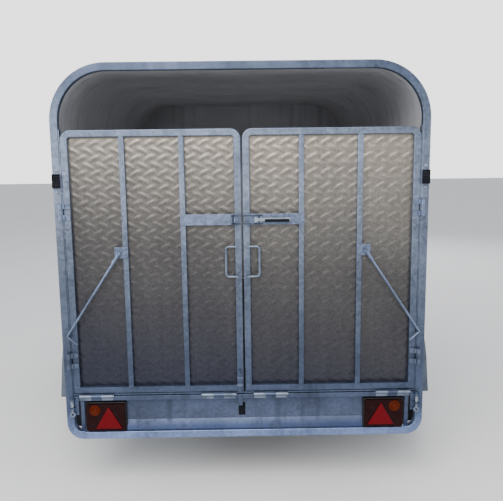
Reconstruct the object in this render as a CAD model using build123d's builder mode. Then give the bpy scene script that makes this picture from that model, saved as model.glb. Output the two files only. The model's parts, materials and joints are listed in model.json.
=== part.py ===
from build123d import *

import os
from math import atan2, cos, radians, sin

os.makedirs("parts", exist_ok=True)

# Livestock trailer, millimetres. +X right as seen from behind, +Y forward, +Z up, ground at z = 0.

# ---- driving dimensions -------------------------------------------------------------------
body_width = 1900
body_length = 3050
overall_length = 4276
rear_reach = 33
weld_gap = 0.3

half = body_width / 2
rear = -overall_length / 2 + rear_reach
front = rear + body_length

tube = 40
corner_r = 285
bumper_r = 90
bumper_low = 300
arch_top = 2255
post_top = arch_top - corner_r
floor_top = 545
floor_thick = 18

leaf_edge = 904
leaf_inner = 4
leaf_low = 555
leaf_high = 1930
leaf_tube = 35
leaf_corner = 50
leaf_back = rear + 2
leaf_front = rear + 32
leaf_bars = (302, 600)
bar_width = 28

ramp_axis_y = rear - 10
ramp_axis_z = 543
ramp_hinges = (-785, -138, 138, 785)
gate_axis_x = 917
gate_axis_y = rear - 16
gate_hinges = (739, 1523.5)

stay_pivot = (629, 1310)
stay_foot = (916, 875)
stay_y = rear - 20
tail_length = 66
tail_slope = radians(42)

handle_low = 1178
handle_high = 1334

latch_z = 1474
latch_y = rear - 22
lever_pivot_x = 70
loop_pivot_x = 95
loop_end_x = -48

bolt_x = 912
bolt_y = rear - 16

axle_y = {"rear": rear + 1060, "front": rear + 1810}
tyre_r = 295
wheel_x = 1072
tyre_width = 170
rim_r = 165
stub_r = 25

guard_out = 1185
guard_in = 962

rail_low = 447
rail_high = floor_top - floor_thick
ball_y = front + 1150
ball_z = 470
jockey = (-205, front + 560)
jockey_wheel_r = 100
crank_turn = 8

sides = {"left": -1, "right": 1}


# ---- helpers ------------------------------------------------------------------------------
def block(x0, x1, y0, y1, z0, z1, mode=Mode.ADD):
    """A square bar between two corners."""
    with Locations(((x0 + x1) / 2, (y0 + y1) / 2, (z0 + z1) / 2)):
        Box(abs(x1 - x0), abs(y1 - y0), abs(z1 - z0), mode=mode)


def rod(start, end, radius, mode=Mode.ADD):
    """A round bar between two points."""
    run = Vector(*end) - Vector(*start)
    with Locations(Plane(origin=start, z_dir=run)):
        Cylinder(radius, run.length, align=(Align.CENTER, Align.CENTER, Align.MIN), mode=mode)


def prism(plane, points, depth, mode=Mode.ADD):
    """A straight-sided outline, drawn on a plane and given a thickness."""
    with BuildSketch(plane) as outline:
        Polygon(*points, align=None)
    extrude(outline.sketch, amount=depth, mode=mode)


def quarter(plane, outer, inner, depth):
    """A quarter of a square-section bend, in the first quadrant of its plane."""
    with BuildSketch(plane) as bend:
        Circle(outer)
        Circle(inner, mode=Mode.SUBTRACT)
        Rectangle(outer, outer, align=(Align.MIN, Align.MIN), mode=Mode.INTERSECT)
    extrude(bend.sketch, amount=depth)


def save(piece, name):
    piece.part.label = name
    export_step(piece.part, f"parts/{name}.step")


# ---- rear frame ---------------------------------------------------------------------------
with BuildPart() as rear_posts:
    for s in sides.values():
        block(s * (half - tube), s * half, rear, rear + tube, bumper_low + bumper_r + weld_gap, post_top)
save(rear_posts, "rear_posts")

with BuildPart() as rear_arch:
    block(corner_r - half, half - corner_r, rear, rear + tube, arch_top - tube, arch_top)
    quarter(Plane(origin=(half - corner_r, rear, post_top), x_dir=(1, 0, 0), z_dir=(0, -1, 0)),
            corner_r, corner_r - tube, -tube)
    quarter(Plane(origin=(corner_r - half, rear, post_top), x_dir=(0, 0, 1), z_dir=(0, -1, 0)),
            corner_r, corner_r - tube, -tube)
save(rear_arch, "rear_arch")

with BuildPart() as bumper_tube:
    block(bumper_r - half, half - bumper_r, rear, rear + tube, bumper_low, bumper_low + tube)
    quarter(Plane(origin=(half - bumper_r, rear, bumper_low + bumper_r), x_dir=(0, 0, -1), z_dir=(0, -1, 0)),
            bumper_r, bumper_r - tube, -tube)
    quarter(Plane(origin=(bumper_r - half, rear, bumper_low + bumper_r), x_dir=(-1, 0, 0), z_dir=(0, -1, 0)),
            bumper_r, bumper_r - tube, -tube)
save(bumper_tube, "bumper_tube")

sill_beam_low = 515
with BuildPart() as sill_beam:
    block(weld_gap + tube - half, half - tube - weld_gap, rear, rear + tube, sill_beam_low, 540)
    block(-34, -12, rear - 5, rear - 0.2, 478, 541)
save(sill_beam, "sill_beam")

strip_x = 862
panel_y = rear + 30
lamp_x = 741
lamp_w = 217
lamp_low = 343
lamp_h = 162
with BuildPart() as sill_panel:
    edge = strip_x + 11
    section = [(panel_y, 514.7), (panel_y, 396), (rear + 3, 352), (rear + 3, 342.2),
               (rear + 6, 342.2), (rear + 6, 351), (panel_y + 3, 395), (panel_y + 3, 514.7)]
    prism(Plane.YZ.offset(-edge), section, 2 * edge)
    block(-34, 2, panel_y - 5, panel_y + 8, 411, 483, Mode.SUBTRACT)
    for s in sides.values():
        block(s * (lamp_x - lamp_w / 2 - 1), s * (lamp_x + lamp_w / 2 + 1), rear, panel_y - 0.1,
              lamp_low - 1, lamp_low + lamp_h + 1, Mode.SUBTRACT)
        block(s * (strip_x - 9), s * (strip_x + 11), rear + 0.2, rear + 4.6, 342.2, 514.7)
save(sill_panel, "sill_panel")

# ---- rear lamps ---------------------------------------------------------------------------
with BuildPart() as lamp_housings:
    for s in sides.values():
        with BuildSketch(Plane.XZ.offset(-(panel_y - 0.2))) as shell:
            with Locations((s * lamp_x, lamp_low + lamp_h / 2)):
                RectangleRounded(lamp_w, lamp_h, 14)
        extrude(shell.sketch, amount=26)
save(lamp_housings, "lamp_housings")

lens_back = panel_y - 26.4
lens_thick = 14
triangle_at = (lamp_x - 17, lamp_low + 62)
signal_at = (lamp_x + 56, lamp_low + 122)
signal_r = 30
with BuildPart() as lamp_lenses_red:
    for s in sides.values():
        with BuildSketch(Plane.XZ.offset(-lens_back)) as lens:
            with Locations((s * lamp_x, lamp_low + lamp_h / 2)):
                RectangleRounded(lamp_w - 14, lamp_h - 14, 9)
            with Locations((s * signal_at[0], signal_at[1])):
                Circle(signal_r + 0.3, mode=Mode.SUBTRACT)
        extrude(lens.sketch, amount=lens_thick)
        with BuildSketch(Plane.XZ.offset(-(lens_back - lens_thick))) as triangle:
            with Locations((s * triangle_at[0], triangle_at[1])):
                RegularPolygon(80, 3, rotation=90)
        extrude(triangle.sketch, amount=5)
save(lamp_lenses_red, "lamp_lenses_red")

with BuildPart() as lamp_lenses_amber:
    for s in sides.values():
        with Locations(Plane(origin=(s * signal_at[0], lens_back, signal_at[1]), z_dir=(0, -1, 0))):
            Cylinder(signal_r, lens_thick + 2, align=(Align.CENTER, Align.CENTER, Align.MIN))
save(lamp_lenses_amber, "lamp_lenses_amber")

# ---- ramp hinges on the sill --------------------------------------------------------------
knuckle_r = 9.5
pin_r = 5
side_run = 61
with BuildPart() as sill_hinge_leaves:
    for cx in ramp_hinges:
        for s in sides.values():
            near = cx + s * 27
            far = cx + s * (27 + side_run)
            rod((near, ramp_axis_y, ramp_axis_z), (far, ramp_axis_y, ramp_axis_z), knuckle_r)
            block(near, far, rear - 6, rear - 0.1, 519, ramp_axis_z - 4)
            rod((near, ramp_axis_y, ramp_axis_z), (far, ramp_axis_y, ramp_axis_z), pin_r, Mode.SUBTRACT)
save(sill_hinge_leaves, "sill_hinge_leaves")

with BuildPart() as sill_hinge_pins:
    for cx in ramp_hinges:
        rod((cx - 90, ramp_axis_y, ramp_axis_z), (cx + 90, ramp_axis_y, ramp_axis_z), pin_r)
        rod((cx + 90, ramp_axis_y, ramp_axis_z), (cx + 93, ramp_axis_y, ramp_axis_z), pin_r + 3)
save(sill_hinge_pins, "sill_hinge_pins")

# ---- fittings on the posts ----------------------------------------------------------------
mid_y = (axle_y["rear"] + axle_y["front"]) / 2
flap_width = 172
flap_line = [(-731.2, 60), (-731.2, 262), (-712.5, 330), (-704.5, 330), (-723.2, 262), (-723.2, 60)]
with BuildPart() as buffers_and_flaps:
    for s in sides.values():
        block(s * (half - 39), s * (half - 1), rear - 20, rear - 0.1, 1644, 1714)
        for rib in range(5):
            z = 1650 + rib * 14
            block(s * (half - 40), s * half, rear - 21.5, rear - 17, z - 3, z + 3, Mode.SUBTRACT)
        prism(Plane.YZ.offset(guard_in + 4 if s > 0 else -guard_in - 4 - flap_width),
              [(mid_y + y, z) for y, z in flap_line], flap_width)
save(buffers_and_flaps, "buffers_and_flaps")

with BuildPart() as post_screws:
    for s in sides.values():
        for z in (1624, 1734):
            rod((s * (half - 20), rear - 0.1, z), (s * (half - 20), rear - 6, z), 8)
save(post_screws, "post_screws")

with BuildPart() as stay_keepers:
    for s in sides.values():
        block(s * (half - 39), s * (half - 5), rear - 5, rear - 0.1,
              stay_foot[1] - 28, stay_foot[1] + 32)
        with Locations(Plane(origin=(s * (half - 24), rear, stay_foot[1]), z_dir=(0, -1, 0))):
            Cylinder(5.5, 20, mode=Mode.SUBTRACT)
save(stay_keepers, "stay_keepers")

with BuildPart() as bolt_brackets:
    for s in sides.values():
        block(s * 882, s * 928, rear - 4, rear - 0.1, 440, 538)
        for z in (480, 530):
            block(s * 898, s * 926, rear - 30, rear - 4, z, z + 6)
            rod((s * bolt_x, bolt_y, z - 1), (s * bolt_x, bolt_y, z + 7), 6.06, Mode.SUBTRACT)
save(bolt_brackets, "bolt_brackets")

# ---- corner spring bolts ------------------------------------------------------------------
for side, s in sides.items():
    with BuildPart() as bolt:
        rod((s * bolt_x, bolt_y, 456), (s * bolt_x, bolt_y, 541), 6)
        rod((s * bolt_x, bolt_y, 518), (s * bolt_x, bolt_y, 523), 10)
        rod((s * bolt_x, bolt_y + 3, 447), (s * bolt_x, bolt_y - 3, 447), 15)
        rod((s * bolt_x, bolt_y + 4, 447), (s * bolt_x, bolt_y - 4, 447), 6, Mode.SUBTRACT)
    save(bolt, f"{side}_spring_bolt")

with BuildPart() as bolt_springs:
    for s in sides.values():
        rod((s * bolt_x, bolt_y, 487), (s * bolt_x, bolt_y, 517.5), 9.5)
        rod((s * bolt_x, bolt_y, 486), (s * bolt_x, bolt_y, 518), 7, Mode.SUBTRACT)
save(bolt_springs, "bolt_springs")

# ---- ramp carrier -------------------------------------------------------------------------
carrier_in = leaf_edge + 0.5
carrier_out = half - tube - 0.5
with BuildPart() as ramp_carrier:
    for s in sides.values():
        block(s * carrier_in, s * carrier_out, rear + 3, rear + 36, 553.3, leaf_high + 3)
    block(-carrier_out, carrier_out, rear + 2, rear + 36, 545, 553)
    for cx in ramp_hinges:
        rod((cx - 26.5, ramp_axis_y, ramp_axis_z), (cx + 26.5, ramp_axis_y, ramp_axis_z), knuckle_r)
        block(cx - 26.5, cx + 26.5, rear - 5, rear + 1.7, 545.5, 553)
        ends = [(x, ramp_axis_y, ramp_axis_z) for x in (cx - 28, cx + 28)]
        rod(*ends, pin_r + 0.06, Mode.SUBTRACT)
    for s in sides.values():
        for z in gate_hinges:
            rod((s * gate_axis_x, gate_axis_y, z - 15), (s * gate_axis_x, gate_axis_y, z + 15), 10)
            rod((s * gate_axis_x, gate_axis_y, z - 42), (s * gate_axis_x, gate_axis_y, z + 42), 4.5)
            block(s * carrier_in, s * (carrier_in + 4.5), gate_axis_y, rear + 2.7, z - 15, z + 15)
save(ramp_carrier, "ramp_carrier")

# ---- gate leaves --------------------------------------------------------------------------
for side, s in sides.items():
    inner = leaf_inner
    outer = leaf_edge
    top_bend = leaf_high - leaf_corner
    with BuildPart() as frame:
        foot = leaf_low + leaf_tube + weld_gap
        head = top_bend - weld_gap
        block(s * inner, s * (inner + leaf_tube), leaf_back, leaf_front, foot, head)
        block(s * (outer - leaf_tube), s * outer, leaf_back, leaf_front, foot, head)
        block(s * inner, s * outer, leaf_back, leaf_front, leaf_low, leaf_low + leaf_tube)
        block(s * (inner + leaf_corner + weld_gap), s * (outer - leaf_corner - weld_gap),
              leaf_back, leaf_front, leaf_high - leaf_tube, leaf_high)
        for x, turn in ((s * (inner + leaf_corner), -s), (s * (outer - leaf_corner), s)):
            x_dir = (1, 0, 0) if turn > 0 else (0, 0, 1)
            plane = Plane(origin=(x, leaf_back, top_bend), x_dir=x_dir, z_dir=(0, -1, 0))
            quarter(plane, leaf_corner, leaf_corner - leaf_tube, leaf_back - leaf_front)
        for x in leaf_bars:
            block(s * (x - bar_width / 2), s * (x + bar_width / 2), leaf_back, leaf_front - 6,
                  leaf_low + leaf_tube + weld_gap, leaf_high - leaf_tube - weld_gap)
    save(frame, f"{side}_leaf_frame")

    with BuildPart() as sheet:
        block(s * (inner + leaf_tube + weld_gap), s * (outer - leaf_tube - weld_gap),
              leaf_front - 5.5, leaf_front - 3.5,
              leaf_low + leaf_tube + weld_gap, leaf_high - leaf_tube - weld_gap)
        fillet(sheet.edges().filter_by(Axis.Y).group_by(Axis.Z)[-1], 16)
    save(sheet, f"{side}_leaf_sheet")

    with BuildPart() as fittings:
        for z in gate_hinges:
            for end in (-1, 1):
                low = z + end * 15.3
                high = z + end * 41
                rod((s * gate_axis_x, gate_axis_y, low), (s * gate_axis_x, gate_axis_y, high), 10)
                block(s * 870, s * (outer - 6), rear - 5, rear + 1.7, low, high)
                block(s * (outer - 8), s * gate_axis_x, rear - 12, rear - 6, low, high)
                rod((s * gate_axis_x, gate_axis_y, low - end), (s * gate_axis_x, gate_axis_y, high + end),
                    4.56, Mode.SUBTRACT)
        px, pz = stay_pivot
        block(s * 586, s * 656, rear - 3, rear + 1.7, pz - 29, pz + 29)
        rod((s * px, rear - 3, pz), (s * px, rear - rear_reach, pz), 5)
        rod((s * px, rear + 3 - rear_reach, pz), (s * px, rear - rear_reach, pz), 9)
        block(s * 20, s * 316, rear - 2.5, rear + 1.7, latch_z - 28, latch_z + 28)
        if side == "right":
            for z in (-14, 14):
                block(60, 80, rear - 31, rear - 2.5, latch_z + z - 2, latch_z + z + 2)
            rod((lever_pivot_x, latch_y, latch_z - 17), (lever_pivot_x, latch_y, latch_z + 17), 4)
        else:
            block(-42, -34, rear - 28, rear - 2.5, latch_z - 12, latch_z + 12)
            for z in (588, 628):
                block(-38, -8, rear - 11, rear + 1.7, z, z + 14)
                block(-34.3, -11.7, rear - 7.3, rear - 0.7, z - 1, z + 15, Mode.SUBTRACT)
    save(fittings, f"{side}_leaf_fittings")

    with BuildPart() as handle:
        corners = [(s * x, rear - 6, z) for x, z in ((30, handle_low), (86, handle_low),
                                                     (86, handle_high), (30, handle_high))]
        with BuildLine() as path:
            FilletPolyline(*corners, radius=16)
        with BuildSketch(Plane(origin=corners[0], z_dir=(s, 0, 0))) as round_section:
            Circle(6)
        sweep(round_section.sketch, path=path.line)
        for z in (handle_low, handle_high):
            rod((s * 30, rear - 13, z), (s * 30, rear + 1.8, z), 7.5)
    save(handle, f"{side}_handle")

    with BuildPart() as stay:
        px, pz = stay_pivot
        fx, fz = stay_foot
        slope = atan2(fx - px, pz - fz)
        sleeve = (px + 60 * sin(slope), pz - 60 * cos(slope))
        tail = (fx - tail_length * cos(tail_slope), fz - tail_length * sin(tail_slope))
        rod((s * px, stay_y - 5, pz), (s * px, stay_y + 5, pz), 12)
        rod((s * px, stay_y, pz), (s * sleeve[0], stay_y, sleeve[1]), 9)
        rod((s * px, stay_y, pz), (s * fx, stay_y, fz), 6.5)
        rod((s * fx, stay_y, fz), (s * tail[0], stay_y, tail[1]), 5.5)
        with Locations((s * fx, stay_y, fz)):
            Sphere(6.5)
        rod((s * px, stay_y - 20, pz), (s * px, stay_y + 20, pz), 5.06, Mode.SUBTRACT)
    save(stay, f"{side}_stay")

# ---- latch --------------------------------------------------------------------------------
with BuildPart() as latch_lever:
    block(lever_pivot_x, 238, latch_y - 5, latch_y + 5, latch_z - 8, latch_z + 8)
    rod((lever_pivot_x, latch_y, latch_z - 11), (lever_pivot_x, latch_y, latch_z + 11), 9)
    rod((238, latch_y, latch_z - 8), (238, latch_y, latch_z + 8), 5)
    rod((loop_pivot_x, latch_y, latch_z - 25), (loop_pivot_x, latch_y, latch_z + 25), 3)
    rod((lever_pivot_x, latch_y, latch_z - 12), (lever_pivot_x, latch_y, latch_z + 12), 4.06, Mode.SUBTRACT)
save(latch_lever, "latch_lever")

with BuildPart() as latch_loop:
    for z in (latch_z - 20.5, latch_z + 20.5):
        rod((loop_pivot_x, latch_y, z - 3), (loop_pivot_x, latch_y, z + 3), 7)
        rod((loop_pivot_x - 4.5, latch_y, z), (loop_end_x, latch_y, z), 2.8)
        rod((loop_pivot_x, latch_y, z - 4), (loop_pivot_x, latch_y, z + 4), 3.06, Mode.SUBTRACT)
    rod((loop_end_x, latch_y, latch_z - 24), (loop_end_x, latch_y, latch_z + 24), 3.5)
save(latch_loop, "latch_loop")

with BuildPart() as drop_bolt:
    block(-34, -12, rear - 7, rear - 1, 556, 672)
    rod((-23, rear - 7, 660), (-23, rear - 26, 660), 6)
    rod((-23, rear - 22, 660), (-23, rear - 30, 660), 9)
save(drop_bolt, "drop_bolt")

# ---- body shell ---------------------------------------------------------------------------
skin = 925
skin_thick = 3
skin_r = skin - (half - corner_r)
roof_top = post_top + skin_r
vent_low = 1500
vent_high = 1750
shell_back = rear + tube + 0.3
with BuildPart() as side_panels:
    for s in sides.values():
        block(s * (skin - skin_thick), s * skin, shell_back, front, floor_top + 1, vent_low)
        block(s * (skin - skin_thick), s * skin, shell_back, front, vent_high, post_top - 0.2)
save(side_panels, "side_panels")

with BuildPart() as roof_shell:
    flat = half - corner_r
    block(-flat, flat, shell_back, front, roof_top - skin_thick, roof_top)
    quarter(Plane(origin=(flat, shell_back, post_top), x_dir=(1, 0, 0), z_dir=(0, -1, 0)),
            skin_r, skin_r - skin_thick, shell_back - front)
    quarter(Plane(origin=(-flat, shell_back, post_top), x_dir=(0, 0, 1), z_dir=(0, -1, 0)),
            skin_r, skin_r - skin_thick, shell_back - front)
save(roof_shell, "roof_shell")

with BuildPart() as front_panel:
    reach = skin - skin_thick - 0.5
    outline = Plane(origin=(0, front - 4, 0), x_dir=(1, 0, 0), z_dir=(0, -1, 0))
    with BuildSketch(outline) as wall:
        with Locations((0, (floor_top + 1 + roof_top - skin_thick) / 2)):
            Rectangle(2 * reach, roof_top - skin_thick - floor_top - 1.5)
        fillet(wall.vertices().group_by(Axis.Z)[-1], skin_r - skin_thick - 0.5)
    extrude(wall.sketch, amount=3)
save(front_panel, "front_panel")

hoop_depth = 40
hoop_count = 5
hoop_pitch = (body_length - tube - hoop_depth) / hoop_count
with BuildPart() as body_hoops:
    for n in range(hoop_count):
        back = rear + tube + (n + 1) * hoop_pitch
        flat = half - corner_r - 0.2
        block(-flat, flat, back, back + hoop_depth, roof_top + 0.3, arch_top - 1)
        for s in sides.values():
            block(s * (skin + 0.3), s * (half - 1), back, back + hoop_depth, rail_low, post_top - 0.2)
            x_dir = (1, 0, 0) if s > 0 else (0, 0, 1)
            plane = Plane(origin=(s * (half - corner_r), back, post_top), x_dir=x_dir, z_dir=(0, -1, 0))
            quarter(plane, corner_r - 1, skin_r + 0.3, -hoop_depth)
    for s in sides.values():
        for n in range(hoop_count):
            start = rear + tube + n * hoop_pitch + (hoop_depth if n else 0) + 0.3
            end = rear + tube + (n + 1) * hoop_pitch - 0.3
            for z in (vent_low - 30, vent_high, floor_top):
                block(s * (skin + 0.3), s * (half - 3), start, end, z, z + 30)
save(body_hoops, "body_hoops")

with BuildPart() as vent_bars:
    for s in sides.values():
        for z in (1548, 1611, 1674):
            block(s * (skin - 8), s * (skin - 2), shell_back, front - 8, z, z + 28)
save(vent_bars, "vent_bars")

# ---- chassis ------------------------------------------------------------------------------
with BuildPart() as floor_board:
    deck_edge = skin - skin_thick - 0.5
    block(-deck_edge, deck_edge, shell_back, front - 8, rail_high + weld_gap, floor_top)
save(floor_board, "floor_board")

rail_x = 860
with BuildPart() as chassis_frame:
    for s in sides.values():
        block(s * (rail_x - 25), s * (rail_x + 25), shell_back, front, rail_low, rail_high)
    for n in range(7):
        y = rear + 240 + n * (body_length - 290) / 6
        block(25.5 - rail_x, rail_x - 25.5, y, y + 40, rail_low + 20, rail_high)
save(chassis_frame, "chassis_frame")

with BuildPart() as axle_beams:
    for y in axle_y.values():
        beam_y = y + 140
        block(-rail_x - 24, rail_x + 24, beam_y - 40, beam_y + 40, rail_low - 80.3, rail_low - 0.3)
        for s in sides.values():
            arm = [(beam_y + 36, rail_low - 8), (beam_y - 30, rail_low - 4), (y - 36, tyre_r + 30),
                   (y - 36, tyre_r - 30), (y + 20, tyre_r - 38), (beam_y + 36, rail_low - 60)]
            prism(Plane.YZ.offset(s * 899 - 15), arm, 30)
            rod((s * 899, y, tyre_r), (s * 1098, y, tyre_r), stub_r)
save(axle_beams, "axle_beams")

for end, y in axle_y.items():
    for side, s in sides.items():
        with BuildPart() as wheel:
            for near, far, radius in ((935, 1085, 112), (1078, 1086, rim_r), (1086, 1104, 62)):
                rod((s * near, y, tyre_r), (s * far, y, tyre_r), radius)
            with BuildSketch(Plane.XY) as barrel:
                Polygon((wheel_x - 72, rim_r - 9), (wheel_x + 72, rim_r - 9), (wheel_x + 72, rim_r + 13),
                        (wheel_x + 67, rim_r + 13), (wheel_x + 64, rim_r), (wheel_x - 64, rim_r),
                        (wheel_x - 67, rim_r + 13), (wheel_x - 72, rim_r + 13), align=None)
            ring = revolve(barrel.sketch, axis=Axis.X, mode=Mode.PRIVATE)
            turned = ring if s > 0 else mirror(ring, about=Plane.YZ, mode=Mode.PRIVATE)
            add(Pos(0, y, tyre_r) * turned)
            rod((s * 930, y, tyre_r), (s * 1100, y, tyre_r), stub_r + 0.08, Mode.SUBTRACT)
            for n in range(4):
                a = radians(45 + 90 * n)
                at = (y + 49 * cos(a), tyre_r + 49 * sin(a))
                rod((s * 1104, *at), (s * 1118, *at), 9.5)
        save(wheel, f"{end}_{side}_wheel")

        with BuildPart() as tyre:
            wall = tyre_width / 2
            tread = (wall - 16, tyre_r - 8)
            bead = (66, rim_r + 14)
            foot = (63.7, rim_r + 0.3)
            with BuildSketch(Plane.XY) as carcass:
                with Locations((wheel_x, 0)):
                    with BuildLine(mode=Mode.PRIVATE) as outline:
                        Polyline((-foot[0], foot[1]), foot, bead)
                        ThreePointArc(bead, (wall, 232), tread)
                        ThreePointArc(tread, (0, tyre_r), (-tread[0], tread[1]))
                        ThreePointArc((-tread[0], tread[1]), (-wall, 232), (-bead[0], bead[1]))
                        Line((-bead[0], bead[1]), (-foot[0], foot[1]))
                    add(make_face(outline.line.edges(), mode=Mode.PRIVATE))
            ring = revolve(carcass.sketch, axis=Axis.X, mode=Mode.PRIVATE)
            turned = ring if s > 0 else mirror(ring, about=Plane.YZ, mode=Mode.PRIVATE)
            add(Pos(0, y, tyre_r) * turned)
        save(tyre, f"{end}_{side}_tyre")

guard_out_line = [(-735, 262), (-675, 480), (-575, 663), (575, 663), (675, 480), (735, 262)]
guard_in_line = [(732, 262), (672.4, 479), (573.3, 660), (-573.3, 660), (-672.4, 479), (-732, 262)]
with BuildPart() as mudguards:
    for s in sides.values():
        points = [(mid_y + y, z) for y, z in guard_out_line + guard_in_line]
        prism(Plane.YZ.offset(guard_in if s > 0 else -guard_out), points, guard_out - guard_in)
        for y in (-500, 0, 460):
            block(s * (half + 0.3), s * (guard_in + 180), mid_y + y, mid_y + y + 40, 663.3, 668)
            block(s * (half + 0.3), s * (half + 5), mid_y + y, mid_y + y + 40, 600, 663)
        block(s * (rail_x + 25.3), s * (half + 5), mid_y - 640, mid_y - 600, 500, 520)
save(mudguards, "mudguards")

# ---- drawbar and coupling -----------------------------------------------------------------
bar_top = rail_low - 0.3
bar_low = bar_top - 60
with BuildPart() as drawbar_tubes:
    for s in sides.values():
        run = [(s * 530, front - 900), (s * 595, front - 900), (s * 62, front + 860), (s * 2, front + 860),
               (s * 2, front + 830)]
        prism(Plane.XY.offset(bar_low), run, 60)
    prism(Plane.XY.offset(bar_top + 0.3),
          [(-160, front + 600), (160, front + 600), (66, front + 900), (-66, front + 900)], 6)
save(drawbar_tubes, "drawbar_tubes")

house_low = bar_top + 6.6
with BuildPart() as overrun_housing:
    block(-45, 45, front + 680, front + 960, house_low, house_low + 62)
    rod((0, front + 960, house_low + 32), (0, front + 985, house_low + 32), 36)
    block(52, 62, front + 690, front + 780, house_low, house_low + 80)
    block(44, 53, front + 700, front + 770, house_low, house_low + 20)
    rod((62, front + 740, house_low + 60), (80, front + 740, house_low + 60), 7)
save(overrun_housing, "overrun_housing")

with BuildPart() as gaiter:
    for n in range(5):
        y = front + 985.3 + n * 12
        rod((0, y, house_low + 32), (0, y + 9, house_low + 32), 34 - n)
        rod((0, y, house_low + 32), (0, y + 12, house_low + 32), 27)
save(gaiter, "gaiter")

with BuildPart() as coupling_head:
    rod((0, front + 1045.6, house_low + 32), (0, ball_y - 20, house_low + 32), 26)
    block(-28, 28, front + 1070, ball_y, house_low + 8, house_low + 56)
    rod((0, ball_y, house_low - 12), (0, ball_y, house_low + 56), 42)
    rod((0, ball_y, house_low - 13), (0, ball_y, ball_z), 25.3, Mode.SUBTRACT)
    with Locations((0, ball_y, ball_z)):
        Sphere(25.3, mode=Mode.SUBTRACT)
    for s in sides.values():
        block(s * 20, s * 27, front + 1076, front + 1100, house_low + 56, house_low + 78)
    rod((-30, front + 1088, house_low + 68), (30, front + 1088, house_low + 68), 4)
save(coupling_head, "coupling_head")

with BuildPart() as coupling_handle:
    rod((-19, front + 1088, house_low + 68), (19, front + 1088, house_low + 68), 9)
    block(-14, 14, front + 1088, ball_y + 35, house_low + 70, house_low + 77)
    rod((-19, ball_y + 36, house_low + 73.5), (19, ball_y + 36, house_low + 73.5), 7)
    rod((-20, front + 1088, house_low + 68), (20, front + 1088, house_low + 68), 4.06, Mode.SUBTRACT)
save(coupling_handle, "coupling_handle")

lever_z = house_low + 60
with BuildPart() as handbrake_lever:
    rod((63, front + 740, lever_z), (72, front + 740, lever_z), 20)
    block(63, 72, front + 430, front + 740, lever_z + 4, lever_z + 20)
    rod((67.5, front + 310, lever_z + 12), (67.5, front + 430, lever_z + 12), 13)
    rod((60, front + 740, lever_z), (85, front + 740, lever_z), 7.06, Mode.SUBTRACT)
save(handbrake_lever, "handbrake_lever")

# ---- jockey wheel -------------------------------------------------------------------------
jx, jy = jockey
with BuildPart() as jockey_clamp:
    block(jx - 40, jx + 40, jy - 34, jy + 34, 392, 436)
    rod((jx, jy, 380), (jx, jy, 450), 24.1, Mode.SUBTRACT)
    rod((jx - 40, jy - 28, 414), (jx - 62, jy - 28, 414), 6)
    rod((jx - 62, jy - 28, 384), (jx - 62, jy - 28, 444), 5)
save(jockey_clamp, "jockey_clamp")

with BuildPart() as jockey_tube:
    rod((jx, jy, 372), (jx, jy, 820), 24)
    rod((jx, jy, 370), (jx, jy, 812), 21.4, Mode.SUBTRACT)
    rod((jx, jy, 811), (jx, jy, 821), 8.06, Mode.SUBTRACT)
save(jockey_tube, "jockey_tube")

with BuildPart() as jockey_leg:
    rod((jx, jy, 214.3), (jx, jy, 640), 21.3)
    rod((jx, jy, 214), (jx, jy, 250), 8.06, Mode.SUBTRACT)
    rod((jx, jy, 285), (jx, jy, 641), 12, Mode.SUBTRACT)
save(jockey_leg, "jockey_leg")

with BuildPart() as jockey_crank:
    rod((jx, jy, 430), (jx, jy, 836), 8)
    block(jx - 8, jx + 110, jy - 8, jy + 8, 826, 836)
    rod((jx + 102, jy, 836), (jx + 102, jy, 926), 13)
save(jockey_crank, "jockey_crank")

wheel_back = 34
wheel_y = jy - wheel_back
with BuildPart() as jockey_fork:
    rod((jx, jy, 214), (jx, jy, 245), 8)
    block(jx - 38, jx + 38, wheel_y - 10, jy + 14, 206, 214)
    for s in sides.values():
        block(jx + s * 34, jx + s * 38, wheel_y - 14, wheel_y + 14, 88, 206)
    rod((jx - 42, wheel_y, jockey_wheel_r), (jx + 42, wheel_y, jockey_wheel_r), 8)
save(jockey_fork, "jockey_fork")

with BuildPart() as jockey_wheel:
    rod((jx - 30, wheel_y, jockey_wheel_r), (jx + 30, wheel_y, jockey_wheel_r), jockey_wheel_r)
    fillet(jockey_wheel.edges().filter_by(GeomType.CIRCLE), 12)
    for s in sides.values():
        rod((jx + s * 20, wheel_y, jockey_wheel_r), (jx + s * 31, wheel_y, jockey_wheel_r), 62,
            Mode.SUBTRACT)
        rod((jx + s * 19, wheel_y, jockey_wheel_r), (jx + s * 32, wheel_y, jockey_wheel_r), 18)
    rod((jx - 35, wheel_y, jockey_wheel_r), (jx + 35, wheel_y, jockey_wheel_r), 8.06, Mode.SUBTRACT)
save(jockey_wheel, "jockey_wheel")
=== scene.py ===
# %% [markdown]
# # A livestock trailer, seen from behind
#
# This lesson dresses a finished mechanical model. The model is a closed box trailer for farm animals.
# Its tubes, hinges, gates, latch, wheels and coupling already exist as exact parts with real joints.
# Here they get rounded edges, pressed sheets, treaded tyres, weld runs and worn zinc.
#
# The frame comes first. It puts every part in its place, in metres, and each new piece is then placed
# from the boxes of those parts, so nothing has to be fitted by eye.

import json
import random
from math import atan2, cos, floor, hypot, pi, radians, sin

import bmesh
import bpy
from mathutils import Matrix, Vector


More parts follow.
